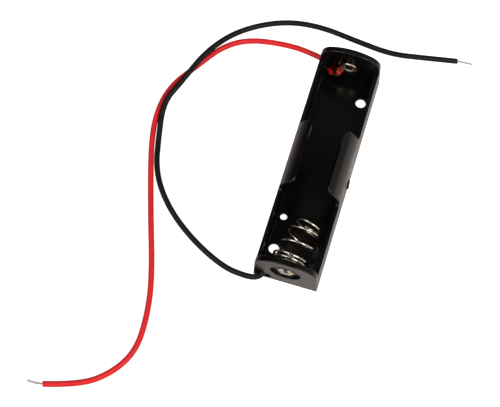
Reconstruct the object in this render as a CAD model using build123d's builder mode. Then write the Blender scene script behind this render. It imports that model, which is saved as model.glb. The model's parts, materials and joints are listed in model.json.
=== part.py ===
"""Open tray for one cylindrical cell, with a conical contact spring, a riveted button and two leads.

Frame: X across the tray, Y along it towards the positive end, Z up. The origin is at the middle
of the tray's underside, so the tray and both leads rest on Z = 0. Lengths are in millimetres.
"""

import os
from math import atan2, cos, degrees, pi, radians, sin, sqrt, tan

from build123d import *

os.makedirs("parts", exist_ok=True)

# Cell that the tray takes
cell_diameter = 14.5
cell_side_gap = 0.05
cell_floor_gap = 0.05

# Tray shell
tray_length = 61.4
tray_height = 15.0
floor_thickness = 1.0
side_wall = 0.75
wall_lean = 0.4
end_wall = 1.5
rim_height = 8.7
crown_radius = 12.5
shoulder_radius = 4.4
floor_fillet = 0.6
edge_round = 0.2
rim_round = 0.15
size_tolerance = 0.01

# Spring arms that close over the cell
arm_start = -9.3
arm_length = 17.9
arm_angle = 57.0
arm_thickness = 0.75
arm_corner_round = 2.0
arm_root_fillet = 1.2
arm_edge_round = 0.15

# Holes in the floor
screw_hole_radius = 1.4
screw_hole_across = 5.25
screw_hole_along = 22.95
locating_hole_radius = 0.95
locating_hole_across = -5.3
locating_hole_along = -13.9

# Recess, rivet hole and lead slot in each end wall
recess_radius = 4.0
recess_depth = 0.7
rivet_clearance = 0.05
slot_width = 3.8
slot_height = 2.5
slot_across = -5.5

# Stub that the cut gate leaves on the right-hand wall
gate_start = -2.1
gate_length = 2.1
gate_reach = 0.48
gate_taper = 0.2
gate_top = 3.0
gate_height = 1.2

# Rivets
rivet_shank_radius = 1.1
rivet_bore_radius = 0.6
rivet_bore_depth = 1.6
rivet_flange_radius = 2.1
rivet_roll_height = 0.55
rivet_crest_radius = 1.25
rivet_throat_depth = 0.3
petal_count = 7
crease_width = 0.18
crease_depth = 0.4
notch_width = 1.3
clamp_head_height = 0.4
button_radius = 2.3
button_height = 0.65
button_dish_radius = 1.5
button_floor_radius = 0.95
button_dish_depth = 0.42
button_lip = 0.06

# Contact spring
wire_radius = 0.3
seat_gap = 0.05
eye_radius = 1.55
base_radius = 4.1
free_length = 12.15
tip_lean = 1.95
coil_tilt = 16.0
tilt_towards = 41.0
eye_start_turn = -1.65
tip_end_turn = 5.57
points_per_turn = 10

# Terminals that grip the leads
terminal_thickness = 0.25
terminal_ring_radius = 2.15
terminal_arm_width = 1.7
terminal_angle = 229.0
barrel_wall = 0.25
barrel_slit = 0.2
barrel_window_length = 0.95
barrel_window_width = 0.75
grip_clearance = 0.05
barrel_wall_gap = 0.05

# Leads
lead_radius = 0.75
strand_radius = 0.25
tip_length = 4.7

# Positions that follow from the sizes above
inner_half = cell_diameter / 2 + cell_side_gap
shoulder_half = inner_half + side_wall
base_half = shoulder_half + wall_lean
axis_height = floor_thickness + cell_floor_gap + cell_diameter / 2
inner_face = tray_length / 2 - end_wall
outer_face = tray_length / 2
recess_floor = outer_face - recess_depth
bay_length = 2 * inner_face
crown_centre = tray_height - crown_radius
shoulder_across = shoulder_half - shoulder_radius
shoulder_height = crown_centre + sqrt((crown_radius - shoulder_radius) ** 2 - shoulder_across**2)
shoulder_arc = degrees(atan2(shoulder_height - crown_centre, shoulder_across))
rim_half = base_half - wall_lean * rim_height / shoulder_height
gate_face = base_half - wall_lean * gate_top / shoulder_height
slot_centre_height = floor_thickness + slot_height / 2
barrel_radius = lead_radius + grip_clearance + barrel_wall
lead_depth = inner_face - barrel_wall_gap - barrel_radius


def across(y):
    """Plane square to the tray's length at the given Y, drawn with X across and Z up."""
    return Plane.XZ.offset(-y)


def end_outline():
    """Closed outline of an end wall: leaning sides, round shoulders and a shallow crown."""
    with BuildLine() as right_half:
        side = Polyline((0, 0), (base_half, 0), (shoulder_half, shoulder_height))
        shoulder = JernArc(side @ 1, (0, 1), shoulder_radius, shoulder_arc)
        crown = JernArc(shoulder @ 1, shoulder % 1, crown_radius, 90 - shoulder_arc)
        Line(crown @ 1, (0, 0))
    make_face(right_half.edges())
    mirror(about=Plane.YZ)


def arm_outline():
    """Section of one arm: it leaves the side wall flush and follows the cell's round."""
    lean = Vector(base_half - shoulder_half, -shoulder_height).normalized()
    direction = Vector(cos(radians(arm_angle)), sin(radians(arm_angle)))
    centre = Vector(0, axis_height)
    inner_edge = centre + direction * inner_half
    outer_edge = centre + direction * (inner_half + arm_thickness)
    root = Vector(rim_half, rim_height) + lean * side_wall
    with BuildLine() as section:
        inside = TangentArc((inner_half, axis_height), inner_edge, tangent=(0, 1))
        Line(inner_edge, outer_edge)
        TangentArc((rim_half, rim_height), outer_edge, tangent=lean * -1)
        Polyline((rim_half, rim_height), root, (inner_half, root.Y), inside @ 0)
    make_face(section.edges())
    mirror(about=Plane.YZ)


def arm_end_cut(end, reach):
    """Side view of what is cut from an arm's end: square above, with a hollow round at the rim."""
    top = 2 * tray_height
    with BuildLine() as cut:
        root = RadiusArc((end + reach, rim_height), (end, rim_height + abs(reach)), -reach)
        Polyline(root @ 1, (end, top), (end + reach, top), root @ 0)
    make_face(cut.edges())


# The tray is one moulding: end walls, sides, floor and arms
with BuildPart() as tray:
    with BuildSketch(across(outer_face)):
        end_outline()
    extrude(amount=tray_length)
    with BuildSketch(across(inner_face)):
        with Locations((0, floor_thickness)):
            Rectangle(2 * inner_half, tray_height, align=(Align.CENTER, Align.MIN))
        fillet(vertices().group_by(Axis.Y)[0], floor_fillet)
    extrude(amount=bay_length, mode=Mode.SUBTRACT)
    with BuildSketch(across(inner_face)):
        with Locations((0, rim_height)):
            Rectangle(3 * base_half, tray_height, align=(Align.CENTER, Align.MIN))
    extrude(amount=bay_length, mode=Mode.SUBTRACT)
    crown_edges = edges().filter_by(GeomType.CIRCLE).filter_by(
        lambda edge: edge.center().Z > rim_height and edge.radius > floor_fillet
    )
    fillet(crown_edges, edge_round)
    rim_edges = edges().filter_by(Axis.Y).filter_by(
        lambda edge: abs(edge.center().Z - rim_height) < size_tolerance
    )
    fillet(rim_edges, rim_round)
    with BuildSketch(across(arm_start + arm_length + arm_root_fillet)):
        arm_outline()
    extrude(amount=arm_length + 2 * arm_root_fillet)
    with BuildSketch(Plane.YZ):
        arm_end_cut(arm_start, -arm_root_fillet)
        arm_end_cut(arm_start + arm_length, arm_root_fillet)
    extrude(amount=base_half, both=True, mode=Mode.SUBTRACT)
    corner_edges = edges().filter_by(GeomType.LINE).filter_by(
        lambda edge: edge.center().Z > axis_height + inner_half / 2
        and abs(edge.length - arm_thickness) < size_tolerance
    )
    fillet(corner_edges, arm_corner_round)
    free_edges = edges().filter_by(Axis.Y).filter_by(
        lambda edge: edge.center().Z > axis_height + inner_half / 2
        and abs(edge.center().Y - arm_start - arm_length / 2) < size_tolerance
    )
    fillet(free_edges, arm_edge_round)
    with BuildSketch(Plane.XY):
        with Locations(
            (screw_hole_across, screw_hole_along),
            (-screw_hole_across, -screw_hole_along),
        ):
            Circle(screw_hole_radius)
        with Locations((locating_hole_across, locating_hole_along)):
            Circle(locating_hole_radius)
    extrude(amount=floor_thickness, mode=Mode.SUBTRACT)
    with BuildSketch(Plane.XY.offset(gate_top)):
        with BuildLine():
            Polyline(
                (base_half - side_wall, gate_start),
                (gate_face + gate_reach, gate_start),
                (gate_face + gate_reach - gate_taper, gate_start + gate_length),
                (base_half - side_wall, gate_start + gate_length),
                close=True,
            )
        make_face()
    extrude(amount=-gate_height)
    for recess_side in (recess_floor, -outer_face):
        with BuildSketch(across(recess_side + recess_depth)):
            with Locations((0, axis_height)):
                Circle(recess_radius)
        extrude(amount=recess_depth, mode=Mode.SUBTRACT)
    for wall_start in (outer_face, -inner_face):
        with BuildSketch(across(wall_start)):
            with Locations((0, axis_height)):
                Circle(rivet_shank_radius + rivet_clearance)
            with Locations((slot_across, slot_centre_height)):
                SlotOverall(slot_width, slot_height)
        extrude(amount=end_wall, mode=Mode.SUBTRACT)
tray.part.label = "tray"
export_step(tray.part, "parts/tray.step")


# Rivets, turned about the cell's axis
cell_axis = Axis((0, 0, axis_height), (0, 1, 0))


def rolled_end():
    """Points of the roll that each rivet turns over in its recess, from the bore outwards."""
    top = recess_floor + rivet_roll_height
    return (
        (top - rivet_throat_depth, axis_height + rivet_bore_radius),
        (top, axis_height + rivet_crest_radius),
        (recess_floor + rivet_roll_height / 2, axis_height + rivet_flange_radius),
    )


def petals(side):
    """Cut creases into a rivet's roll on that side of the tray, and a notch where it split."""
    crest_plane = across(side * (recess_floor + rivet_roll_height))
    with BuildSketch(crest_plane) as creases:
        with Locations((0, axis_height)):
            with PolarLocations(0, petal_count, start_angle=90):
                Rectangle(button_radius, crease_width, align=(Align.MIN, Align.CENTER))
    extrude(creases.sketch, amount=side * crease_depth, mode=Mode.SUBTRACT)
    with BuildSketch(crest_plane) as notch:
        with BuildLine() as outline:
            Polyline(
                (0, axis_height),
                (notch_width / 2, axis_height + button_radius),
                (-notch_width / 2, axis_height + button_radius),
                close=True,
            )
        make_face(outline.edges())
    extrude(notch.sketch, amount=side * rivet_roll_height, mode=Mode.SUBTRACT)


with BuildPart() as positive_rivet:
    button_seat = inner_face - terminal_thickness
    button_face = button_seat - button_height
    bore_end = recess_floor + rivet_roll_height - rivet_bore_depth
    throat, crest, rim = rolled_end()
    with BuildSketch(Plane.YZ):
        with BuildLine():
            Polyline(
                (button_face + button_dish_depth, axis_height),
                (bore_end, axis_height),
                (bore_end, throat[1]),
                throat,
            )
            ThreePointArc(throat, crest, rim)
            Polyline(
                rim,
                (recess_floor, rim[1]),
                (recess_floor, axis_height + rivet_shank_radius),
                (button_seat, axis_height + rivet_shank_radius),
                (button_seat, axis_height + button_radius),
                (button_face + button_height / 2, axis_height + button_radius),
            )
            ThreePointArc(
                (button_face + button_height / 2, axis_height + button_radius),
                (button_face, axis_height + (button_radius + button_dish_radius) / 2),
                (button_face + button_lip, axis_height + button_dish_radius),
            )
            Polyline(
                (button_face + button_lip, axis_height + button_dish_radius),
                (button_face + button_dish_depth, axis_height + button_floor_radius),
                (button_face + button_dish_depth, axis_height),
            )
        make_face()
    revolve(axis=cell_axis)
    petals(1)
positive_rivet.part.label = "positive_rivet"
export_step(positive_rivet.part, "parts/positive_rivet.step")

with BuildPart() as spring_rivet:
    clamp_seat = inner_face - terminal_thickness - 2 * wire_radius - 2 * seat_gap
    clamp_top = clamp_seat - clamp_head_height
    throat, crest, rim = rolled_end()
    with BuildSketch(Plane.YZ):
        with BuildLine():
            Polyline(
                (-clamp_top, axis_height),
                (-bore_end, axis_height),
                (-bore_end, throat[1]),
                (-throat[0], throat[1]),
            )
            ThreePointArc((-throat[0], throat[1]), (-crest[0], crest[1]), (-rim[0], rim[1]))
            Polyline(
                (-rim[0], rim[1]),
                (-recess_floor, rim[1]),
                (-recess_floor, axis_height + rivet_shank_radius),
                (-clamp_seat, axis_height + rivet_shank_radius),
                (-clamp_seat, axis_height + rivet_flange_radius),
                (-clamp_seat + clamp_head_height / 2, axis_height + rivet_flange_radius),
                (-clamp_top, axis_height + rivet_shank_radius),
                (-clamp_top, axis_height),
            )
        make_face()
    revolve(axis=cell_axis)
    petals(-1)
spring_rivet.part.label = "spring_rivet"
export_step(spring_rivet.part, "parts/spring_rivet.step")


# Contact spring: an eye under the rivet, a flat spiral, closed base coils and a leaning cone
spring_seat = -inner_face + terminal_thickness + seat_gap + wire_radius
# Turn, then distance from the seat, coil radius, sideways lean and tilt as shares of their sizes
spring_stations = (
    (eye_start_turn, 0, eye_radius / base_radius, 0, 0),
    (-1, 0, eye_radius / base_radius, 0, 0),
    (0, 0.006, 1, 0, 0.03),
    (1, 0.0705, 1.02, 0, 0.15),
    (2, 0.173, 1.02, 0, 0.44),
    (3, 0.473, 1, 0.28, 0.82),
    (4, 0.79, 0.875, 0.67, 1),
    (5, 1, 0.705, 1, 0.95),
    (tip_end_turn, 0.995, 0.68, 1.08, 0.75),
)


def spring_point(turn):
    """Point of the wire's centreline: it winds right-handed, and its coils lean and tilt."""
    for low, high in zip(spring_stations, spring_stations[1:]):
        if turn <= high[0]:
            break
    share = (turn - low[0]) / (high[0] - low[0])
    distance, radius, lean, tilt = (a + (b - a) * share for a, b in zip(low[1:], high[1:]))
    angle = pi / 2 - 2 * pi * turn
    reach = base_radius * radius
    dip = tilt * tan(radians(coil_tilt)) * cos(angle - radians(tilt_towards))
    return (
        tip_lean * lean + reach * cos(angle),
        spring_seat + free_length * distance - reach * dip,
        axis_height + reach * sin(angle),
    )


with BuildPart() as contact_spring:
    wire_steps = round((tip_end_turn - eye_start_turn) * points_per_turn)
    turn_step = (tip_end_turn - eye_start_turn) / wire_steps
    with BuildLine() as wire_line:
        Spline(*(spring_point(eye_start_turn + turn_step * i) for i in range(wire_steps + 1)))
    with BuildSketch(Plane(origin=wire_line.line @ 0, z_dir=wire_line.line % 0)):
        Circle(wire_radius)
    sweep(is_frenet=True)
contact_spring.part.label = "contact_spring"
export_step(contact_spring.part, "parts/contact_spring.step")


# Terminals: a ring under the rivet, an arm and a barrel closed round the lead
terminal_turn = Vector(cos(radians(terminal_angle)), 0, sin(radians(terminal_angle)))


def along_terminal(distance, y):
    """Point at that distance from the cell's axis towards the lead slot."""
    return Vector(0, y, axis_height) + terminal_turn * distance


def terminal(plate_start, y, barrel_start, barrel_end):
    """Ring and arm in a plate against the wall, and a slit barrel round the lead at height y."""
    with BuildSketch(across(plate_start)) as plate:
        with Locations((0, axis_height)):
            Circle(terminal_ring_radius)
            with Locations(Rotation(0, 0, terminal_angle)):
                Rectangle(barrel_end, terminal_arm_width, align=(Align.MIN, Align.CENTER))
            Circle(rivet_shank_radius + rivet_clearance, mode=Mode.SUBTRACT)
    extrude(plate.sketch, amount=terminal_thickness)
    barrel_plane = Plane(origin=along_terminal(barrel_start, y), z_dir=terminal_turn)
    with BuildSketch(barrel_plane) as barrel:
        Circle(barrel_radius)
    extrude(barrel.sketch, amount=barrel_end - barrel_start)
    with BuildSketch(barrel_plane) as bore:
        Circle(lead_radius + grip_clearance)
    extrude(bore.sketch, amount=barrel_end - barrel_start, mode=Mode.SUBTRACT)
    slit_plane = Plane(origin=along_terminal(barrel_start, y), x_dir=terminal_turn, z_dir=(0, -y, 0))
    with BuildSketch(slit_plane) as slit:
        Rectangle(barrel_end - barrel_start, barrel_slit, align=(Align.MIN, Align.CENTER))
        with Locations(((barrel_end - barrel_start) / 2, 0)):
            Ellipse(barrel_window_length / 2, barrel_window_width / 2)
    extrude(slit.sketch, amount=2 * barrel_radius, mode=Mode.SUBTRACT)


# Distances along the terminals at which the barrels and the insulation start and end
positive_barrel = (3.6, 5.0)
positive_lead_start = 3.75
positive_bend = 6.8
positive_strand_end = 2.35
spring_barrel = (4.7, 6.2)
spring_lead_start = 5.15
spring_bend = 7.2
spring_strand_end = 4.65

with BuildPart() as positive_terminal:
    terminal(inner_face, lead_depth, *positive_barrel)
positive_terminal.part.label = "positive_terminal"
export_step(positive_terminal.part, "parts/positive_terminal.step")

with BuildPart() as spring_terminal:
    terminal(terminal_thickness - inner_face, -lead_depth, *spring_barrel)
spring_terminal.part.label = "spring_terminal"
export_step(spring_terminal.part, "parts/spring_terminal.step")


# Routes of the leads' centrelines, from the barrels through the slots and over the surface
red_route = (
    along_terminal(positive_lead_start, lead_depth),
    along_terminal(positive_bend, lead_depth),
    (-5.6, 29.95, 2.2),
    (-7.0, 32.1, 1.5),
    (-10.2, 33.5, 0.8),
    (-17.0, 34.2, lead_radius),
    (-28.5, 33.4, lead_radius),
    (-35.4, 28.7, lead_radius),
    (-41.0, 20.9, lead_radius),
    (-45.2, 13.6, lead_radius),
    (-47.3, 5.8, lead_radius),
    (-45.35, -3.8, lead_radius),
    (-39.1, -21.0, lead_radius),
    (-32.7, -40.0, lead_radius),
    (-31.2, -50.5, lead_radius),
    (-30.3, -58.9, lead_radius),
    (-34.2, -65.7, lead_radius),
    (-41.2, -70.9, lead_radius),
    (-50.1, -73.5, lead_radius),
)
# The black lead passes over the red one on a long low hump
hump_height = 5.4
black_route = (
    along_terminal(spring_lead_start, -lead_depth),
    along_terminal(spring_bend, -lead_depth),
    (-5.6, -29.95, 2.2),
    (-6.9, -31.8, 1.5),
    (-10.0, -32.5, 0.8),
    (-16.4, -31.2, lead_radius),
    (-26.5, -26.6, lead_radius),
    (-35.2, -19.8, lead_radius),
    (-40.85, -11.5, lead_radius),
    (-43.5, -1.9, lead_radius),
    (-45.4, 7.4, lead_radius),
    (-43.2, 14.6, hump_height),
    (-39.2, 25.4, hump_height),
    (-32.6, 34.8, lead_radius),
    (-22.0, 41.0, lead_radius),
    (-11.5, 42.6, lead_radius),
    (0.0, 40.7, lead_radius),
    (9.5, 39.4, lead_radius),
    (18.0, 40.8, lead_radius),
    (27.1, 42.6, lead_radius),
)


def corner_radii(route):
    """Radius at each corner: 0.45 of the shorter run over the tangent of half the turn."""
    points = [Vector(*point) for point in route]
    runs = [b - a for a, b in zip(points, points[1:])]
    radii = []
    for before, after in zip(runs, runs[1:]):
        half_turn = radians(before.get_angle(after)) / 2
        radii.append(0.45 * min(before.length, after.length) / tan(half_turn))
    return radii


def tube(route):
    """Round tube of the insulation along straight runs joined by tangent arcs."""
    with BuildLine():
        line = FilletPolyline(*route, radius=corner_radii(route))
    with BuildSketch(Plane(origin=line @ 0, z_dir=line % 0)) as section:
        Circle(lead_radius)
    sweep(section.sketch, path=line)
    return line.length


def strand(start, end):
    """Straight twist of bare strands from one point to another."""
    direction = Vector(*end) - Vector(*start)
    with BuildSketch(Plane(origin=start, z_dir=direction)) as section:
        Circle(strand_radius)
    extrude(section.sketch, amount=direction.length)


def tip_end(route):
    """End of the bare tip, straight on from the route's last run."""
    last = Vector(*route[-1])
    return last + (last - Vector(*route[-2])).normalized() * tip_length


def report_lead(name, lead, route, length):
    """Print a lead's length, its arc radii, and its volume against section times length."""
    print(f"{name}: {length:.1f} mm of insulation, {tip_length} mm bare")
    print("  radii", ", ".join(f"{radius:.1f}" for radius in corner_radii(route)))
    print(f"  volume {lead.part.volume:.2f}, section times length {pi * lead_radius**2 * length:.2f}")


with BuildPart() as red_lead:
    red_length = tube(red_route)
red_lead.part.label = "red_lead"
export_step(red_lead.part, "parts/red_lead.step")
report_lead("red_lead", red_lead, red_route, red_length)

with BuildPart() as black_lead:
    black_length = tube(black_route)
black_lead.part.label = "black_lead"
export_step(black_lead.part, "parts/black_lead.step")
report_lead("black_lead", black_lead, black_route, black_length)

with BuildPart() as red_lead_tip:
    strand(red_route[-1], tip_end(red_route))
red_lead_tip.part.label = "red_lead_tip"
export_step(red_lead_tip.part, "parts/red_lead_tip.step")

with BuildPart() as black_lead_tip:
    strand(black_route[-1], tip_end(black_route))
black_lead_tip.part.label = "black_lead_tip"
export_step(black_lead_tip.part, "parts/black_lead_tip.step")

with BuildPart() as red_lead_strands:
    strand(red_route[0], along_terminal(positive_strand_end, lead_depth))
red_lead_strands.part.label = "red_lead_strands"
export_step(red_lead_strands.part, "parts/red_lead_strands.step")

with BuildPart() as black_lead_strands:
    strand(black_route[0], along_terminal(spring_strand_end, -lead_depth))
black_lead_strands.part.label = "black_lead_strands"
export_step(black_lead_strands.part, "parts/black_lead_strands.step")
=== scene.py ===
"""Finishes, cords, contact spring and studio for an open tray that holds one cylindrical cell.

Lengths are in metres, in the part's own frame: X across the tray, Y along it towards the
positive end, Z up from the surface that the tray and its two leads rest on. The leads and
the spring keep theirs in millimetres, and MM turns them into metres.
"""

import json
import logging
from dataclasses import astuple, dataclass
from enum import Enum
from typing import Any

import bpy
import numpy as np
from mathutils import Matrix

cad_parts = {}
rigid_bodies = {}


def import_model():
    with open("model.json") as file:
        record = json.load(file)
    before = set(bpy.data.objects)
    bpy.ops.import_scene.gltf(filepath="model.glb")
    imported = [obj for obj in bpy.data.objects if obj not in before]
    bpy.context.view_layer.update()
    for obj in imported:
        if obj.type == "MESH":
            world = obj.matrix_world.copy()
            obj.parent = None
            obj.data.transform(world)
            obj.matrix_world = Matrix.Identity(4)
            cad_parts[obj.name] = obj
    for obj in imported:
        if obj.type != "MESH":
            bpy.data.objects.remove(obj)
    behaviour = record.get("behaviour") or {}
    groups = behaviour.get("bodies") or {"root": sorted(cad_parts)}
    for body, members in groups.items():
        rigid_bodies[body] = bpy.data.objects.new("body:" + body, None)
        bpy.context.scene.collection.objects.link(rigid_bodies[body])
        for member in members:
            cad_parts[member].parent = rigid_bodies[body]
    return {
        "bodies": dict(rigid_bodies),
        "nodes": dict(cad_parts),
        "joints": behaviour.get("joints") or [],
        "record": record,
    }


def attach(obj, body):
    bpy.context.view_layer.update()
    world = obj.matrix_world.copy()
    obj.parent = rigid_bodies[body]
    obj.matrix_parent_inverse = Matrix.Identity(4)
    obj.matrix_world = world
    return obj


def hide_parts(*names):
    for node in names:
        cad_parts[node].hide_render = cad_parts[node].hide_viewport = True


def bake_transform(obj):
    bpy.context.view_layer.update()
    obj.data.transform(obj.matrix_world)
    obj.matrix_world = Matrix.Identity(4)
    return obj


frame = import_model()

LOG = logging.getLogger("cell_holder")
MM = 0.001

Point = tuple[float, float, float]
Colour = tuple[float, float, float]
Span = tuple[float, float]
Surface = tuple[np.ndarray, list[list[int]], np.ndarray]
Node = bpy.types.Node
Socket = bpy.types.NodeSocket


class Body(Enum):
    """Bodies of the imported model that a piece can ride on."""

    TRAY = "tray"
    SPRING = "contact_spring"


class Slot(Enum):
    """Material slots of the record."""

    TRAY = "tray_plastic"
    SPRING = "spring_wire"
    RIVET = "rivet_metal"
    TERMINAL = "terminal_brass"
    RED = "red_insulation"
    BLACK = "black_insulation"
    TINNED = "tinned_strands"
    COPPER = "copper_strands"


def add_object(name: str, data: bpy.types.ID) -> bpy.types.Object:
    """Put a mesh, curve, lamp or camera into the scene, at the origin.

    Args:
        name: Name of the object.
        data: The mesh, curve, lamp or camera.

    Returns:
        The new object.
    """
    made = bpy.data.objects.new(name, data)
    bpy.context.scene.collection.objects.link(made)
    return made


# Shader nodes

def add_node(tree: bpy.types.NodeTree, kind: str, inputs: dict | None = None, **settings: Any) -> Node:
    """Add one node to a tree.

    Args:
        tree: Tree that takes the node.
        kind: Blender's name of the node type.
        inputs: Value or source socket for each named or numbered input.
        **settings: Properties of the node.

    Returns:
        The new node.
    """
    made = tree.nodes.new(kind)
    for name, value in settings.items():
        setattr(made, name, value)
    for key, value in (inputs or {}).items():
        if isinstance(value, bpy.types.NodeSocket):
            tree.links.new(value, made.inputs[key])
        else:
            made.inputs[key].default_value = value
    return made


def math_node(tree: bpy.types.NodeTree, operation: str, *values: float | Socket) -> Socket:
    """Add a Math node and return its output.

    Args:
        tree: Tree that takes the node.
        operation: Name of the operation.
        *values: Numbers or sockets, in the order of the inputs.

    Returns:
        The output socket.
    """
    made = add_node(tree, "ShaderNodeMath", dict(enumerate(values)), operation=operation)
    return made.outputs[0]


def map_range(tree: bpy.types.NodeTree, value: Socket, source: Span, target: Span) -> Socket:
    """Map a value from one range to another, smoothly and held at the ends.

    Args:
        tree: Tree that takes the node.
        value: Socket to map.
        source: Lowest and highest value that come in.
        target: Values that they become.

    Returns:
        The mapped socket.
    """
    inputs = {
        "Value": value,
        "From Min": source[0],
        "From Max": source[1],
        "To Min": target[0],
        "To Max": target[1],
    }
    made = add_node(tree, "ShaderNodeMapRange", inputs, interpolation_type="SMOOTHSTEP")
    return made.outputs["Result"]


def mix_colours(
    tree: bpy.types.NodeTree, share: Socket, low: Colour | Socket, high: Colour | Socket
) -> Socket:
    """Mix two colours by a share between 0 and 1.

    Args:
        tree: Tree that takes the node.
        share: Share of the second colour.
        low: Colour or socket at share 0.
        high: Colour or socket at share 1.

    Returns:
        The mixed colour.
    """
    # The colour sockets share their names with the node's other kinds, so they go by number
    made = add_node(tree, "ShaderNodeMix", {"Factor": share}, data_type="RGBA")
    for index, colour in ((6, low), (7, high)):
        if isinstance(colour, bpy.types.NodeSocket):
            tree.links.new(colour, made.inputs[index])
        else:
            made.inputs[index].default_value = (*colour, 1.0)
    return made.outputs[2]


class EffectGroup:
    """A shader node group that several finishes share. Each is built once, at its first use."""

    built: dict[str, bpy.types.NodeTree] = {}

    @classmethod
    def start(cls, name: str, inputs: dict[str, float], outputs: list[str]) -> tuple[Any, Node, Node]:
        """Make an empty group with a Vector input, number inputs and number outputs.

        Args:
            name: Name of the group.
            inputs: Default value of each number input.
            outputs: Names of the outputs.

        Returns:
            The tree, its input node and its output node.
        """
        tree = bpy.data.node_groups.new(name, "ShaderNodeTree")
        tree.interface.new_socket("Vector", in_out="INPUT", socket_type="NodeSocketVector")
        for label, value in inputs.items():
            socket = tree.interface.new_socket(label, in_out="INPUT", socket_type="NodeSocketFloat")
            socket.default_value = value
        for label in outputs:
            tree.interface.new_socket(label, in_out="OUTPUT", socket_type="NodeSocketFloat")
        cls.built[name] = tree
        return tree, tree.nodes.new("NodeGroupInput"), tree.nodes.new("NodeGroupOutput")

    @classmethod
    def mottle(cls) -> bpy.types.NodeTree:
        """Soft cloudy variation: coarse noise bent by itself, with a finer layer over it.

        Returns:
            The group, whose outputs are Tone, from 0 to 1, and Height.
        """
        if "mottle" in cls.built:
            return cls.built["mottle"]
        tree, source, result = cls.start("mottle", {"Scale": 300.0, "Fine": 8.0}, ["Tone", "Height"])
        coarse = add_node(tree, "ShaderNodeTexNoise", {
            "Vector": source.outputs["Vector"],
            "Scale": source.outputs["Scale"],
            "Detail": 3.0,
            "Roughness": 0.55,
            "Distortion": 0.6,
        })
        fine_scale = math_node(tree, "MULTIPLY", source.outputs["Scale"], source.outputs["Fine"])
        fine = add_node(tree, "ShaderNodeTexNoise", {
            "Vector": source.outputs["Vector"],
            "Scale": fine_scale,
            "Detail": 2.0,
            "Roughness": 0.5,
        })
        tone = map_range(tree, coarse.outputs["Fac"], (0.3, 0.7), (0.0, 1.0))
        fine_share = math_node(tree, "MULTIPLY", fine.outputs["Fac"], 0.25)
        height = math_node(tree, "ADD", coarse.outputs["Fac"], fine_share)
        tree.links.new(tone, result.inputs["Tone"])
        tree.links.new(height, result.inputs["Height"])
        return tree

    @classmethod
    def specks(cls) -> bpy.types.NodeTree:
        """Dust: small uneven specks, thicker on faces that look up.

        Returns:
            The group, whose output Mask is 1 on a speck.
        """
        if "specks" in cls.built:
            return cls.built["specks"]
        tree, source, result = cls.start("specks", {"Scale": 2200.0, "Amount": 0.4}, ["Mask"])
        cells = add_node(tree, "ShaderNodeTexVoronoi", {
            "Vector": source.outputs["Vector"],
            "Scale": source.outputs["Scale"],
            "Randomness": 1.0,
        }, feature="F1")
        patches = add_node(tree, "ShaderNodeTexNoise", {
            "Vector": source.outputs["Vector"],
            "Scale": math_node(tree, "MULTIPLY", source.outputs["Scale"], 0.13),
            "Detail": 2.0,
        })
        reach = map_range(tree, patches.outputs["Fac"], (0.45, 0.75), (0.02, 0.2))
        inside = math_node(tree, "SUBTRACT", reach, cells.outputs["Distance"])
        speck = map_range(tree, inside, (0.0, 0.05), (0.0, 1.0))
        geometry = tree.nodes.new("ShaderNodeNewGeometry")
        facing = add_node(tree, "ShaderNodeSeparateXYZ", {"Vector": geometry.outputs["Normal"]})
        lying = map_range(tree, facing.outputs["Z"], (0.1, 0.9), (0.15, 1.0))
        amount = math_node(tree, "MULTIPLY", lying, source.outputs["Amount"])
        tree.links.new(math_node(tree, "MULTIPLY", speck, amount), result.inputs["Mask"])
        return tree

    @classmethod
    def scuffs(cls) -> bpy.types.NodeTree:
        """Fine rubbed lines: noise stretched along the vector's last axis, kept at its crests.

        Returns:
            The group, whose output Mask is 1 in a line.
        """
        if "scuffs" in cls.built:
            return cls.built["scuffs"]
        inputs = {"Scale": 1500.0, "Stretch": 0.04, "Sharpness": 0.62}
        tree, source, result = cls.start("scuffs", inputs, ["Mask"])
        parts = add_node(tree, "ShaderNodeSeparateXYZ", {"Vector": source.outputs["Vector"]})
        along = math_node(tree, "MULTIPLY", parts.outputs["Z"], source.outputs["Stretch"])
        stretched = add_node(tree, "ShaderNodeCombineXYZ", {
            "X": parts.outputs["X"],
            "Y": parts.outputs["Y"],
            "Z": along,
        })
        lines = add_node(tree, "ShaderNodeTexNoise", {
            "Vector": stretched.outputs["Vector"],
            "Scale": source.outputs["Scale"],
            "Detail": 3.0,
            "Roughness": 0.6,
        })
        above = math_node(tree, "SUBTRACT", lines.outputs["Fac"], source.outputs["Sharpness"])
        tree.links.new(map_range(tree, above, (0.0, 0.08), (0.0, 1.0)), result.inputs["Mask"])
        return tree


class Coordinates(Enum):
    """Coordinates that a finish reads."""

    OBJECT = "Object"
    SURFACE = "UV"


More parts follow.
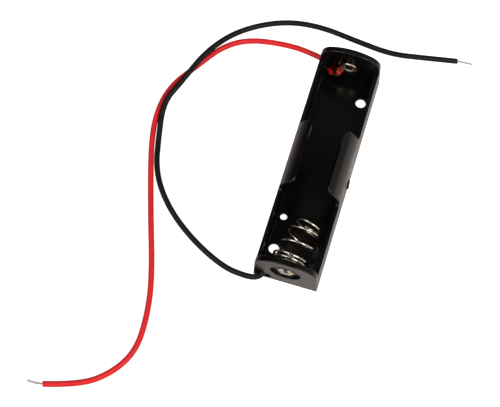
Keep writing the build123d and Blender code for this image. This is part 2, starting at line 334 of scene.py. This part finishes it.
class FinishTree:
    """Material under construction: its tree, its Principled shader and its coordinates."""

    def __init__(self, name: str, coordinates: Coordinates, turn: Point = (0.0, 0.0, 0.0)) -> None:
        """Start a material.

        Args:
            name: Name of the material.
            coordinates: Coordinates that its patterns follow.
            turn: Turn of the patterns about X, Y and Z, in radians.
        """
        self.material = bpy.data.materials.new(name)
        self.material.use_nodes = True
        self.tree = self.material.node_tree
        self.shader = self.tree.nodes["Principled BSDF"]
        source = self.tree.nodes.new("ShaderNodeTexCoord")
        mapping = add_node(self.tree, "ShaderNodeMapping", {
            "Vector": source.outputs[coordinates.value],
            "Rotation": turn,
        })
        self.vector = mapping.outputs["Vector"]

    def effect(self, group: bpy.types.NodeTree, **values: float) -> Node:
        """Place a shared group.

        Args:
            group: Group to place.
            **values: Values of its inputs, by lower-case name.

        Returns:
            The group's node.
        """
        made = self.tree.nodes.new("ShaderNodeGroup")
        made.node_tree = group
        self.tree.links.new(self.vector, made.inputs["Vector"])
        for name, value in values.items():
            made.inputs[name.capitalize()].default_value = value
        return made

    def set(self, **values: Any) -> None:
        """Set or link the shader's inputs.

        Args:
            **values: Value or socket by input name, with _ for each space.
        """
        for name, value in values.items():
            socket = self.shader.inputs[name.replace("_", " ")]
            if isinstance(value, bpy.types.NodeSocket):
                self.tree.links.new(value, socket)
            else:
                socket.default_value = value

    def bump(self, *layers: tuple[Socket, float]) -> None:
        """Chain one Bump node for each layer and feed the last to the shader.

        Args:
            *layers: Height socket and depth in metres of each layer.
        """
        normal = None
        for height, depth in layers:
            made = add_node(self.tree, "ShaderNodeBump", {"Height": height, "Distance": depth})
            if normal is not None:
                self.tree.links.new(normal, made.inputs["Normal"])
            normal = made.outputs["Normal"]
        self.set(Normal=normal)


# Finishes

@dataclass(frozen=True)
class MouldedPlastic:
    """Glossy black moulding: faint flow clouds, a fine skin and a little dust."""

    name: str = "moulded_plastic"
    base: Colour = (0.001, 0.00095, 0.0009)
    cloud: Colour = (0.002, 0.0019, 0.0018)
    dust: Colour = (0.075, 0.07, 0.068)
    gloss: float = 0.19
    dull: float = 0.27
    cloud_scale: float = 110.0
    skin_scale: float = 5200.0
    speck_scale: float = 1500.0
    speck_amount: float = 0.35
    speck_roughness: float = 0.4
    refraction: float = 1.46
    cloud_depth: float = 0.00003
    skin_depth: float = 0.0000012

    def material(self) -> bpy.types.Material:
        """Build the material.

        Returns:
            The finished material.
        """
        made = FinishTree(self.name, Coordinates.OBJECT)
        clouds = made.effect(EffectGroup.mottle(), scale=self.cloud_scale, fine=6.0)
        skin = made.effect(EffectGroup.mottle(), scale=self.skin_scale, fine=2.0)
        specks = made.effect(EffectGroup.specks(), scale=self.speck_scale, amount=self.speck_amount)
        tone = mix_colours(made.tree, clouds.outputs["Tone"], self.base, self.cloud)
        colour = mix_colours(made.tree, specks.outputs["Mask"], tone, self.dust)
        smooth = map_range(made.tree, clouds.outputs["Tone"], (0.0, 1.0), (self.gloss, self.dull))
        dusty = math_node(made.tree, "MULTIPLY", specks.outputs["Mask"], self.speck_roughness)
        made.set(
            Base_Color=colour,
            Roughness=math_node(made.tree, "ADD", smooth, dusty),
            IOR=self.refraction,
        )
        made.bump(
            (clouds.outputs["Height"], self.cloud_depth), (skin.outputs["Height"], self.skin_depth)
        )
        return made.material


@dataclass(frozen=True)
class PlatedMetal:
    """Plated or bare metal with faint draw lines, cloudy tarnish, painted shade and wear."""

    name: str
    base: Colour = (0.72, 0.68, 0.62)
    tarnish: Colour = (0.5, 0.44, 0.36)
    gloss: float = 0.1
    dull: float = 0.24
    cloud_scale: float = 900.0
    cloud_depth: float = 0.000006
    line_scale: float = 2600.0
    line_sharpness: float = 0.52
    line_roughness: float = 0.12
    line_depth: float = 0.000002
    stretch: float = 0.05
    coordinates: Coordinates = Coordinates.OBJECT
    turn: Point = (0.0, 0.0, 0.0)
    # Painted shade: a dark colour standing in for shade, set in and ended by the two Y spans below.
    painted_shade: Colour = (0.02, 0.016, 0.012)
    painted_shade_from: Span | None = None
    painted_shade_until: Span | None = None
    metallic: float = 1.0
    axis: Point = (0.0, 0.0, 0.0)
    worn_within: Span | None = None
    wear: float = 0.35

    def material(self) -> bpy.types.Material:
        """Build the material.

        Where they are given, painted shade sets in between the two places along Y of the span
        where it starts and ends between those of the span where it stops: a dark colour for the
        shade where the metal meets a wall or sinks into a bore. Wear dulls the metal inside the
        first distance of worn_within from the axis, a line along Y, and fades out by the second.

        Returns:
            The finished material.
        """
        made = FinishTree(self.name, self.coordinates, self.turn)
        clouds = made.effect(EffectGroup.mottle(), scale=self.cloud_scale, fine=4.0)
        lines = made.effect(
            EffectGroup.scuffs(),
            scale=self.line_scale,
            stretch=self.stretch,
            sharpness=self.line_sharpness,
        )
        colour = mix_colours(made.tree, clouds.outputs["Tone"], self.base, self.tarnish)
        smooth = map_range(made.tree, clouds.outputs["Tone"], (0.0, 1.0), (self.gloss, self.dull))
        # Painted shade: darker deeper along Y, where the metal meets a wall or sinks into a bore.
        if self.painted_shade_from is not None:
            place = add_node(made.tree, "ShaderNodeSeparateXYZ", {"Vector": made.vector})
            painted_shade_mask = map_range(made.tree, place.outputs["Y"], self.painted_shade_from, (0.0, 1.0))
            if self.painted_shade_until is not None:
                still = map_range(made.tree, place.outputs["Y"], self.painted_shade_until, (1.0, 0.0))
                painted_shade_mask = math_node(made.tree, "MULTIPLY", painted_shade_mask, still)
            colour = mix_colours(made.tree, painted_shade_mask, colour, self.painted_shade)
        if self.worn_within is not None:
            beside = add_node(made.tree, "ShaderNodeVectorMath", {
                0: made.vector,
                1: (1.0, 0.0, 1.0),
                2: tuple(-value for value in self.axis),
            }, operation="MULTIPLY_ADD")
            away = add_node(
                made.tree, "ShaderNodeVectorMath", {0: beside.outputs["Vector"]}, operation="LENGTH"
            )
            worn = map_range(made.tree, away.outputs["Value"], self.worn_within, (self.wear, 0.0))
            smooth = math_node(made.tree, "ADD", smooth, worn)
        lined = math_node(made.tree, "MULTIPLY", lines.outputs["Mask"], self.line_roughness)
        made.set(
            Base_Color=colour,
            Metallic=self.metallic,
            Roughness=math_node(made.tree, "ADD", smooth, lined),
        )
        made.bump(
            (clouds.outputs["Height"], self.cloud_depth), (lines.outputs["Mask"], self.line_depth)
        )
        return made.material


@dataclass(frozen=True)
class ExtrudedInsulation:
    """Smooth flexible insulation: even colour, soft clouds, slight waviness and rubbed lines."""

    name: str
    base: Colour
    shade: Colour
    rubbed: Colour
    gloss: float = 0.42
    dull: float = 0.55
    sheen: float = 0.28
    cloud_scale: float = 260.0
    cloud_depth: float = 0.00004
    rub_scale: float = 1400.0
    rub_stretch: float = 0.5
    rub_sharpness: float = 0.66

    def material(self) -> bpy.types.Material:
        """Build the material.

        Returns:
            The finished material.
        """
        made = FinishTree(self.name, Coordinates.OBJECT)
        clouds = made.effect(EffectGroup.mottle(), scale=self.cloud_scale, fine=9.0)
        scuffs = made.effect(
            EffectGroup.scuffs(),
            scale=self.rub_scale,
            stretch=self.rub_stretch,
            sharpness=self.rub_sharpness,
        )
        tone = mix_colours(made.tree, clouds.outputs["Tone"], self.base, self.shade)
        colour = mix_colours(made.tree, scuffs.outputs["Mask"], tone, self.rubbed)
        smooth = map_range(made.tree, clouds.outputs["Tone"], (0.0, 1.0), (self.gloss, self.dull))
        made.set(Base_Color=colour, Roughness=smooth, Specular_IOR_Level=self.sheen)
        made.bump((clouds.outputs["Height"], self.cloud_depth))
        return made.material


Finish = MouldedPlastic | PlatedMetal | ExtrudedInsulation

NICKEL_WIRE = PlatedMetal(
    "nickel_wire", coordinates=Coordinates.SURFACE, cloud_scale=9.0, line_scale=60.0, stretch=0.02,
    gloss=0.08, dull=0.16,
)
# Painted shade: a dark brown band on the button's side and shank by the terminal and wall, ending
# before the rivet's outer end.
NICKEL_RIVET = PlatedMetal(
    "nickel_rivet", base=(0.92, 0.86, 0.76), tarnish=(0.66, 0.56, 0.44), gloss=0.08, dull=0.2,
    painted_shade=(0.06, 0.04, 0.02), painted_shade_from=(0.02845, 0.02865), painted_shade_until=(0.0293, 0.0295),
    axis=(0.0, 0.0, 0.0083), worn_within=(0.00135, 0.0016),
)
# Painted shade: the rivet darkens deeper into the wall, in its notch and bore.
ROLLED_RIVET = PlatedMetal(
    "rolled_rivet", base=(0.95, 0.88, 0.76), tarnish=(0.62, 0.5, 0.36), gloss=0.08, dull=0.24,
    cloud_scale=1500.0, painted_shade_from=(-0.03042, -0.03012),
)
# Painted shade: the positive terminal darkens where it presses against the end wall.
STAMPED_BRASS = PlatedMetal(
    "stamped_brass", base=(0.82, 0.64, 0.32), tarnish=(0.5, 0.33, 0.14), gloss=0.12, dull=0.26,
    painted_shade=(0.04, 0.03, 0.015), painted_shade_from=(0.02896, 0.029),
)
TINNED_STRANDS = PlatedMetal(
    "tinned_strands", base=(0.52, 0.5, 0.46), tarnish=(0.36, 0.34, 0.31), gloss=0.4, dull=0.55,
    cloud_scale=1600.0, metallic=0.1,
)
COPPER_STRANDS = PlatedMetal(
    "copper_strands", base=(0.8, 0.46, 0.3), tarnish=(0.5, 0.25, 0.15), gloss=0.28, dull=0.45,
    cloud_scale=1600.0,
)
RED_INSULATION = ExtrudedInsulation(
    "red_insulation", (0.77, 0.022, 0.025), (0.69, 0.015, 0.019), (0.8, 0.06, 0.06), sheen=0.22
)
BLACK_INSULATION = ExtrudedInsulation(
    "black_insulation", (0.004, 0.004, 0.004), (0.008, 0.007, 0.007), (0.03, 0.03, 0.03), sheen=0.2
)


# Meshes from arrays

@dataclass
class Path:
    """Centreline of a round wire, with two unit vectors square to it at each point."""

    centres: np.ndarray
    normals: np.ndarray
    binormals: np.ndarray

    @classmethod
    def along(cls, centres: np.ndarray, sideways: np.ndarray) -> "Path":
        """Square a set of sideways vectors to a line of points.

        The tangent is the difference of neighbouring points. The normal is the sideways
        vector less its share along the tangent, made one long, and the binormal is the
        tangent crossed with the normal.

        Args:
            centres: Points of the line, one row each.
            sideways: A vector at each point that isn't along the line.

        Returns:
            The path.
        """
        tangents = np.gradient(centres, axis=0)
        tangents /= np.linalg.norm(tangents, axis=1, keepdims=True)
        along = np.sum(sideways * tangents, axis=1, keepdims=True)
        normals = sideways - along * tangents
        normals /= np.linalg.norm(normals, axis=1, keepdims=True)
        return cls(centres, normals, np.cross(tangents, normals))


def tube(path: Path, radii: np.ndarray, sides: int) -> Surface:
    """Carry a circle along a path and close both ends with a point.

    Each ring's point is the centre plus the radius times the normal turned about the
    tangent by the ring's angle. The last two vertices are the poles.

    Args:
        path: Centreline and its vectors.
        radii: Radius at each point of the path.
        sides: Points in each ring.

    Returns:
        Vertices, faces, and a U and V for each vertex: turns round and distance along.
    """
    rings = len(path.centres)
    angle = np.linspace(0.0, 2 * np.pi, sides, endpoint=False)
    swing = (
        np.cos(angle)[None, :, None] * path.normals[:, None, :]
        + np.sin(angle)[None, :, None] * path.binormals[:, None, :]
    )
    body = path.centres[:, None, :] + radii[:, None, None] * swing
    vertices = np.vstack([body.reshape(-1, 3), path.centres[:1], path.centres[-1:]])
    ring = np.arange(rings - 1)[:, None] * sides
    side = np.arange(sides)[None, :]
    after = (side + 1) % sides
    quads = np.stack(
        [ring + side, ring + sides + side, ring + sides + after, ring + after], axis=-1
    ).reshape(-1, 4)
    first, last = rings * sides, rings * sides + 1
    turn = np.arange(sides)
    following = (turn + 1) % sides
    start = np.stack([np.full(sides, first), turn, following], axis=-1)
    tail = (rings - 1) * sides
    end = np.stack([np.full(sides, last), tail + following, tail + turn], axis=-1)
    steps = np.linalg.norm(np.diff(path.centres, axis=0), axis=1)
    run = np.concatenate([[0.0], np.cumsum(steps)])
    around = np.broadcast_to(angle / (2 * np.pi), (rings, sides))
    along = np.broadcast_to(run[:, None], (rings, sides))
    chart = np.stack([around, along], axis=-1).reshape(-1, 2)
    chart = np.vstack([chart, [[0.5, run[0]], [0.5, run[-1]]]])
    return vertices, [*quads.tolist(), *start.tolist(), *end.tolist()], chart


def rounded_ends(count: int, radius: float, steps: int = 3, inset: float = 0.35) -> np.ndarray:
    """Radii of a wire whose two cut ends are a little rounded.

    Args:
        count: Points along the wire.
        radius: Radius of the wire.
        steps: Points over which each end narrows.
        inset: How far in from its cut the outermost point stands, in steps.

    Returns:
        Radius at each point: a quarter of a circle over the last few points.
    """
    place = np.arange(count)
    nearest = np.minimum(place, count - 1 - place)
    share = np.clip((nearest + inset) / steps, 0.0, 1.0)
    return radius * np.sqrt(1.0 - (1.0 - share) ** 2)


def mesh_object(name: str, parts: list[Surface]) -> bpy.types.Object:
    """Join tubes or other surfaces into one smooth-shaded mesh object.

    Args:
        name: Name of the object.
        parts: Vertices, faces and vertex UVs of each surface.

    Returns:
        The object, at the origin.
    """
    offset = 0
    faces: list[list[int]] = []
    for vertices, part_faces, _ in parts:
        faces += [[index + offset for index in face] for face in part_faces]
        offset += len(vertices)
    mesh = bpy.data.meshes.new(name)
    mesh.from_pydata(np.vstack([part[0] for part in parts]).tolist(), [], faces)
    chart = np.vstack([part[2] for part in parts])
    corner_vertices = np.zeros(len(mesh.loops), dtype=np.int32)
    mesh.loops.foreach_get("vertex_index", corner_vertices)
    layer = mesh.uv_layers.new(name="surface")
    layer.data.foreach_set("uv", chart[corner_vertices].astype(np.float32).ravel())
    mesh.shade_smooth()
    mesh.update()
    return add_object(name, mesh)


# Studio

@dataclass(frozen=True)
class Panel:
    """A wide soft panel of the room: where it is, its edge and middle as cosines, its level."""

    towards: Point
    cosines: Span
    level: float


@dataclass(frozen=True)
class SoftBox:
    """A rectangular lamp: its name, its centre, its two sides and its power in watts."""

    name: str
    place: Point
    size: Span
    power: float


@dataclass
class Studio:
    """White floor, soft lamps, a room that is bright at the sides and dim above, and the camera.

    The camera's place, axes and focal length are fitted to the tray's corners and holes.
    """

    camera_place: Point = (0.021863, -0.118220, 0.311037)
    camera_right: Point = (0.95566973, 0.29415221, -0.01303242)
    camera_up: Point = (-0.27266918, 0.90084160, 0.33784009)
    camera_back: Point = (0.11111656, -0.31931001, 0.94111329)
    focal_pixels: float = 1261.8
    photo_width: float = 500.0
    sensor_width: float = 36.0
    floor_half: float = 3.0
    floor_drop: float = 0.00003
    # The floor's tone below is painted light: a painted falloff far out and painted shade away from
    # bright_side.
    floor_white: float = 0.86
    painted_falloff_tone: float = 0.3
    white_within: float = 0.12
    grey_beyond: float = 0.34
    bright_side: Point = (1.0, 0.3, 0.0)
    side_reach: Span = (-0.06, 0.02)
    painted_shade_share: float = 0.3
    floor_lift: float = 0.93
    room_level: float = 0.05
    warmth: Colour = (1.0, 0.92, 0.87)
    panels: tuple[Panel, ...] = (
        Panel((-0.25, -0.9, 0.38), (0.84, 0.97), 1.4),
        Panel((0.8, -0.6, 0.1), (0.8, 0.96), 1.1),
        Panel((0.85, 0.25, 0.3), (0.7, 0.95), 0.3),
        Panel((0.0, 0.9, 0.45), (0.7, 0.95), 0.3),
    )
    soft_boxes: tuple[SoftBox, ...] = (
        SoftBox("left_box", (-0.55, -0.3, 0.85), (0.6, 0.5), 4.0),
        SoftBox("right_box", (0.55, -0.3, 0.85), (0.6, 0.5), 6.9),
    )

    def camera(self) -> None:
        """Place the camera where the photograph was taken from."""
        data = bpy.data.cameras.new("camera")
        data.sensor_width = self.sensor_width
        data.lens = self.focal_pixels / self.photo_width * self.sensor_width
        data.clip_start = 0.01
        data.clip_end = 20.0
        made = add_object("camera", data)
        axes = zip(self.camera_right, self.camera_up, self.camera_back, self.camera_place)
        made.matrix_world = Matrix([*(list(row) for row in axes), [0.0, 0.0, 0.0, 1.0]])
        bpy.context.scene.camera = made

    def floor(self) -> None:
        """Lay a white floor that shows pure white and keeps a soft shadow.

        What the pieces mirror of it is painted light: its tone greys far out by the distance from
        the middle, a painted falloff of light, and on one side by the distance along bright_side,
        painted shade.
        """
        half = self.floor_half
        sheet = [(-half, -half), (half, -half), (half, half), (-half, half)]
        mesh = bpy.data.meshes.new("floor")
        mesh.from_pydata([(x, y, -self.floor_drop) for x, y in sheet], [], [(0, 1, 2, 3)])
        made = add_object("floor", mesh)
        material = bpy.data.materials.new("floor_white")
        material.use_nodes = True
        tree = material.node_tree
        tree.nodes.clear()
        place = tree.nodes.new("ShaderNodeTexCoord")
        reach = add_node(tree, "ShaderNodeVectorMath", {0: place.outputs["Object"]}, operation="LENGTH")
        spread = (self.white_within, self.grey_beyond)
        # Painted light: the tone falls off far from the middle and darkens away from bright_side,
        # standing in for uneven light and shade.
        tone = map_range(tree, reach.outputs["Value"], spread, (self.floor_white, self.painted_falloff_tone))
        towards = add_node(tree, "ShaderNodeVectorMath", {
            0: place.outputs["Object"],
            1: self.bright_side,
        }, operation="DOT_PRODUCT")
        shares = (self.painted_shade_share, 1.0)
        side = map_range(tree, towards.outputs["Value"], self.side_reach, shares)
        tone = math_node(tree, "MULTIPLY", tone, side)
        pale = mix_colours(tree, tone, (0.0, 0.0, 0.0), self.warmth)
        paper = add_node(tree, "ShaderNodeBsdfDiffuse", {"Color": pale})
        rays = tree.nodes.new("ShaderNodeLightPath")
        lift = math_node(tree, "MULTIPLY", rays.outputs["Is Camera Ray"], self.floor_lift)
        glow = add_node(tree, "ShaderNodeEmission", {"Strength": lift})
        both = add_node(tree, "ShaderNodeAddShader", {0: paper.outputs[0], 1: glow.outputs[0]})
        add_node(tree, "ShaderNodeOutputMaterial", {"Surface": both.outputs[0]})
        mesh.materials.append(material)

    def room(self) -> None:
        """Surround the scene with a dim room that holds a few wide soft panels.

        Each panel brightens the directions near its own: the cosine of the angle between
        them is mapped smoothly from its edge to its middle.
        """
        world = bpy.data.worlds.new("room")
        bpy.context.scene.world = world
        world.use_nodes = True
        tree = world.node_tree
        tree.nodes.clear()
        source = tree.nodes.new("ShaderNodeTexCoord")
        level: float | Socket = self.room_level
        for panel in self.panels:
            towards = add_node(tree, "ShaderNodeVectorMath", {
                0: source.outputs["Generated"],
                1: tuple(np.array(panel.towards) / np.linalg.norm(panel.towards)),
            }, operation="DOT_PRODUCT")
            share = map_range(tree, towards.outputs["Value"], panel.cosines, (0.0, panel.level))
            level = math_node(tree, "ADD", share, level)
        rays = tree.nodes.new("ShaderNodeLightPath")
        seen = rays.outputs["Is Camera Ray"]
        shown = math_node(tree, "MAXIMUM", level, seen)
        background = add_node(tree, "ShaderNodeBackground", {"Strength": shown})
        background.inputs["Color"].default_value = (*self.warmth, 1.0)
        add_node(tree, "ShaderNodeOutputWorld", {"Surface": background.outputs[0]})

    def lamp(self, box: SoftBox) -> None:
        """Hang one soft box that faces the middle of the scene.

        Args:
            box: The lamp's place, sides and power.
        """
        data = bpy.data.lights.new(box.name, "AREA")
        data.shape = "RECTANGLE"
        data.size, data.size_y = box.size
        data.energy = box.power
        made = add_object(box.name, data)
        away = np.array(box.place) / np.linalg.norm(box.place)
        right = np.cross([0.0, 1.0, 0.0], away)
        right /= np.linalg.norm(right)
        up = np.cross(away, right)
        rows = np.column_stack([right, up, away, box.place]).tolist()
        made.matrix_world = Matrix([*rows, [0.0, 0.0, 0.0, 1.0]])

    def build(self) -> None:
        """Build the whole studio and set the plain view transform."""
        self.camera()
        self.floor()
        self.room()
        for box in self.soft_boxes:
            self.lamp(box)
        bpy.context.scene.view_settings.view_transform = "Standard"


# Leads

@dataclass
class Lead:
    """One insulated lead: its route, its insulation and the bare twisted strands at its end.

    Its lengths are in millimetres.
    """

    name: str
    route: list[Point]
    finish: ExtrudedInsulation
    slot: Slot
    node: str
    tip_bend: float
    stated_length: float
    radius: float = 0.75
    tip_length: float = 4.7
    tip_hidden: float = 0.6
    tip_radius: float = 0.25
    tip_spread: float = 0.35
    tip_points: int = 61
    strands: int = 6
    strand_sides: int = 10
    lay_turns: float = 1.6
    waver: float = 0.12
    waver_pace: float = 9.0
    stagger: float = 0.08

    def insulation(self) -> bpy.types.Object:
        """Draw the insulation as a smooth curve whose control points are the route.

        Returns:
            The curve's object.
        """
        data = bpy.data.curves.new(self.name, "CURVE")
        data.dimensions = "3D"
        data.bevel_depth = self.radius * MM
        data.bevel_resolution = 8
        data.use_fill_caps = True
        spline = data.splines.new("NURBS")
        spline.points.add(len(self.route) - 1)
        for point, place in zip(spline.points, self.route):
            point.co = (*(value * MM for value in place), 1.0)
        spline.order_u = 3
        spline.use_endpoint_u = True
        spline.resolution_u = 16
        made = add_object(self.name, data)
        data.materials.append(self.finish.material())
        return made

    def tip(self, name: str) -> bpy.types.Object:
        """Twist the bare strands of the outer end, which bend a little and spread at their cut.

        Each strand's centre goes round the lead's line: along by its distance, sideways by
        the bundle's radius times the cosine and sine of its turn. That radius wavers by a sine
        and grows by the sixth power of the distance, and each strand is cut a step shorter
        than the next. The line itself leaves the insulation straight and bends by the square
        of the distance. One strand runs straight.

        Args:
            name: Name of the piece.

        Returns:
            The bundle of strands.
        """
        end = np.array(self.route[-1])
        ahead = end - np.array(self.route[-2])
        ahead /= np.linalg.norm(ahead)
        up = np.array([0.0, 0.0, 1.0])
        beside = np.cross(up, ahead)
        share = np.linspace(0.0, 1.0, self.tip_points)[:, None]
        distance = share * self.tip_length - self.tip_hidden
        line = end + ahead * distance + beside * self.tip_bend * share**2
        strand_radius = self.tip_radius / 3
        spread = (self.tip_radius - strand_radius) * (1.0 + self.tip_spread * share**6)
        straight = Path.along(line, np.repeat(up[None, :], len(line), axis=0))
        radii = rounded_ends(len(line), strand_radius)
        parts = [tube(straight, radii, self.strand_sides)]
        for index in range(self.strands):
            angle = 2 * np.pi * (index / self.strands + self.lay_turns * share)
            swing = np.cos(angle) * straight.normals + np.sin(angle) * straight.binormals
            reach = spread * (1.0 + self.waver * np.sin(self.waver_pace * share + index))
            shorter = line - ahead * (self.stagger * (-index % self.strands)) * share
            helix = Path.along(shorter + reach * swing, straight.normals)
            parts.append(tube(helix, radii, self.strand_sides))
        scaled = [(vertices * MM, faces, chart * [1.0, MM]) for vertices, faces, chart in parts]
        made = mesh_object(name, scaled)
        made.data.materials.append(TINNED_STRANDS.material())
        return made

    def build(self) -> list[bpy.types.Object]:
        """Returns:
            The insulation and the tip.
        """
        insulation = self.insulation()
        tip = self.tip(f"{self.name}_bare_end")
        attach(insulation, Body.TRAY.value)
        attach(tip, Body.TRAY.value)
        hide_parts(self.node)
        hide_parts(f"{self.node}_tip")
        return [insulation, tip]


# Control points of the leads' centrelines, in millimetres, from the slots to the stripped ends.
# LAID is the lowest height, where a lead lies on the surface. The black lead climbs on the red
# one from the left, rests on it where they cross and comes down beyond it.
LAID = 0.75

RED_ROUTE: list[Point] = [
    (-2.460, 28.1, 5.470),
    (-4.461, 28.1, 3.168),
    (-5.6, 29.95, 2.2),
    (-7.0, 32.1, 1.5),
    (-10.2, 33.25, 0.8),
    (-17.0, 34.2, LAID),
    (-28.35, 32.9, LAID),
    (-35.3, 28.6, LAID),
    (-40.5, 20.5, LAID),
    (-45.1, 13.5, LAID),
    (-46.5, 5.7, LAID),
    (-45.2, -3.7, LAID),
    (-39.45, -21.15, LAID),
    (-32.65, -39.95, LAID),
    (-30.7, -50.5, LAID),
    (-30.7, -58.85, LAID),
    (-34.3, -65.55, LAID),
    (-41.1, -71.05, LAID),
    (-50.1, -73.5, LAID),
]

BLACK_ROUTE: list[Point] = [
    (-3.379, -28.1, 4.413),
    (-4.724, -28.1, 2.866),
    (-5.6, -29.95, 2.2),
    (-6.9, -31.8, 1.5),
    (-10.0, -32.15, 0.8),
    (-16.45, -31.45, LAID),
    (-26.5, -26.55, LAID),
    (-35.2, -19.85, LAID),
    (-41.2, -11.65, LAID),
    (-43.65, -1.9, LAID),
    (-45.3, 7.45, 2.2),
    (-42.4, 14.25, 2.9),
    (-38.75, 25.05, 2.9),
    (-32.5, 34.65, LAID),
    (-21.85, 40.65, LAID),
    (-11.5, 42.1, LAID),
    (0.0, 40.5, LAID),
    (9.5, 39.5, LAID),
    (17.95, 40.95, LAID),
    (27.1, 42.6, LAID),
]


# Contact spring

@dataclass(frozen=True)
class CoilStation:
    """A turn of the spring's wire and, as shares of the spring's sizes, where the wire is there.

    They are its distance from the seat, the coil's radius, its sideways lean and its tilt.
    """

    turn: float
    distance: float
    radius: float
    lean: float
    tilt: float


@dataclass
class ContactSpring:
    """Wire spring: an eye under the rivet, a flat spiral, closed base coils and a leaning cone.

    Its lengths are in millimetres.
    """

    wire_radius: float = 0.3
    seat: float = -28.6
    axis_height: float = 8.3
    free_length: float = 12.15
    base_radius: float = 4.1
    eye_radius: float = 1.55
    eye_turns: Span = (-1.65, -1.0)
    tip_lean: float = 1.95
    coil_tilt: float = 16.2
    tilt_towards: float = 12.0
    steps_per_turn: int = 44
    sides: int = 16
    pattern_scale: float = 0.1
    fixed_until: float = -27.4
    moves_from: float = -16.3
    stations: tuple[CoilStation, ...] = (
        CoilStation(0.0, 0.006, 1.0, 0.0, 0.03),
        CoilStation(1.0, 0.082, 1.05, 0.02, 0.36),
        CoilStation(2.0, 0.166, 1.06, 0.04, 0.58),
        CoilStation(3.0, 0.458, 1.03, 0.42, 0.64),
        CoilStation(4.0, 0.79, 0.885, 0.85, 0.78),
        CoilStation(5.0, 0.97, 0.72, 1.14, 0.93),
        CoilStation(5.57, 0.965, 0.69, 1.2, 0.8),
    )

    def centreline(self) -> tuple[np.ndarray, np.ndarray]:
        """Work out the wire's centreline.

        Distance, radius, lean and tilt run smoothly through the eye and the stations by the
        turn. The wire winds right-handed about the cell's axis, from the top, and a tilted
        coil's point moves back by its radius times the tilt's tangent times the cosine of its
        angle from the side that dips.

        Returns:
            Centres in millimetres and the outward vector at each.
        """
        eye_share = self.eye_radius / self.base_radius
        eye = [CoilStation(turn, 0.0, eye_share, 0.0, 0.0) for turn in self.eye_turns]
        table = np.array([astuple(station) for station in (*eye, *self.stations)])
        turns = table[-1, 0] - table[0, 0]
        turn = np.linspace(table[0, 0], table[-1, 0], round(turns * self.steps_per_turn))
        shares = (smooth_through(table[:, 0], column, turn) for column in table[:, 1:].T)
        distance, radius, lean, tilt = shares
        angle = np.pi / 2 - 2 * np.pi * turn
        reach = radius * self.base_radius
        dip = np.cos(angle - np.radians(self.tilt_towards)) * np.tan(np.radians(self.coil_tilt))
        along = self.seat + distance * self.free_length - reach * tilt * dip
        outward = np.stack([np.cos(angle), np.zeros_like(angle), np.sin(angle)], axis=1)
        height = np.full_like(along, self.axis_height)
        middle = np.stack([lean * self.tip_lean, along, height], axis=1)
        return middle + reach[:, None] * outward, outward

    def build(self) -> bpy.types.Object:
        """Build the wire.

        Returns:
            The wire's object.
        """
        centres, outward = self.centreline()
        path = Path.along(centres, outward)
        vertices, faces, chart = tube(path, rounded_ends(len(centres), self.wire_radius), self.sides)
        pattern = chart * [1.0, self.pattern_scale]
        made = mesh_object("spring_coils", [(vertices * MM, faces, pattern)])
        made.data.materials.append(NICKEL_WIRE.material())
        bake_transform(made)
        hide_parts("contact_spring")
        return made


def smooth_through(knots: np.ndarray, values: np.ndarray, places: np.ndarray) -> np.ndarray:
    """Cubic curve through given values that never overshoots them.

    At each knot the slope is the harmonic mean of the slopes beside it, or 0 where they
    differ in sign. Between knots it is the cubic with those values and slopes.

    Args:
        knots: Places of the values, rising.
        values: Value at each knot.
        places: Where the curve is wanted.

    Returns:
        The curve's values there.
    """
    width = np.diff(knots)
    slope = np.diff(values) / width
    before, after = slope[:-1], slope[1:]
    same = before * after > 0
    total = np.where(same, before + after, 1.0)
    inner = np.where(same, 2 * before * after / total, 0.0)
    ends = np.concatenate([[slope[0]], inner, [slope[-1]]])
    index = np.clip(np.searchsorted(knots, places, side="right") - 1, 0, len(width) - 1)
    step = width[index]
    t = (places - knots[index]) / step
    low, high = values[index], values[index + 1]
    return (
        low * (1 + 2 * t) * (1 - t) ** 2
        + high * t**2 * (3 - 2 * t)
        + step * ends[index] * t * (1 - t) ** 2
        - step * ends[index + 1] * t**2 * (1 - t)
    )


# Rigid pieces that keep their solids

@dataclass
class DressedNode:
    """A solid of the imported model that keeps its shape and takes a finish."""

    node: str
    finish: Finish
    slot: Slot

    def build(self) -> bpy.types.Object:
        """Give the node's mesh its finish.

        Returns:
            The node's object.
        """
        made = frame["nodes"][self.node]
        made.data.materials.clear()
        made.data.materials.append(self.finish.material())
        return made


def clear_startup() -> None:
    """Remove whatever the empty file came with, such as its cube."""
    kept = {item.name for group in ("nodes", "bodies") for item in frame[group].values()}
    for item in list(bpy.data.objects):
        if item.name not in kept:
            bpy.data.objects.remove(item)


def main() -> None:
    """Build everything in order."""
    logging.basicConfig(level=logging.INFO, format="%(name)s: %(message)s")
    clear_startup()
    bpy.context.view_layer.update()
    Studio().build()
    leads = [
        Lead(
            "red_lead_cord", RED_ROUTE, RED_INSULATION, Slot.RED, "red_lead",
            tip_bend=-0.75, stated_length=155.0,
        ),
        Lead(
            "black_lead_cord", BLACK_ROUTE, BLACK_INSULATION, Slot.BLACK, "black_lead",
            tip_bend=-0.45, stated_length=159.0,
        ),
    ]
    for lead in leads:
        for piece in lead.build():
            LOG.info("built %s", piece.name)
    LOG.info("built %s", ContactSpring().build().name)
    solids = [
        DressedNode("tray", MouldedPlastic(), Slot.TRAY),
        DressedNode("spring_rivet", ROLLED_RIVET, Slot.RIVET),
        DressedNode("positive_rivet", NICKEL_RIVET, Slot.RIVET),
        DressedNode("spring_terminal", STAMPED_BRASS, Slot.TERMINAL),
        DressedNode("positive_terminal", STAMPED_BRASS, Slot.TERMINAL),
        DressedNode("red_lead_strands", COPPER_STRANDS, Slot.COPPER),
        DressedNode("black_lead_strands", COPPER_STRANDS, Slot.COPPER),
    ]
    for solid in solids:
        LOG.info("dressed %s", solid.build().name)


if __name__ == "__main__":
    main()
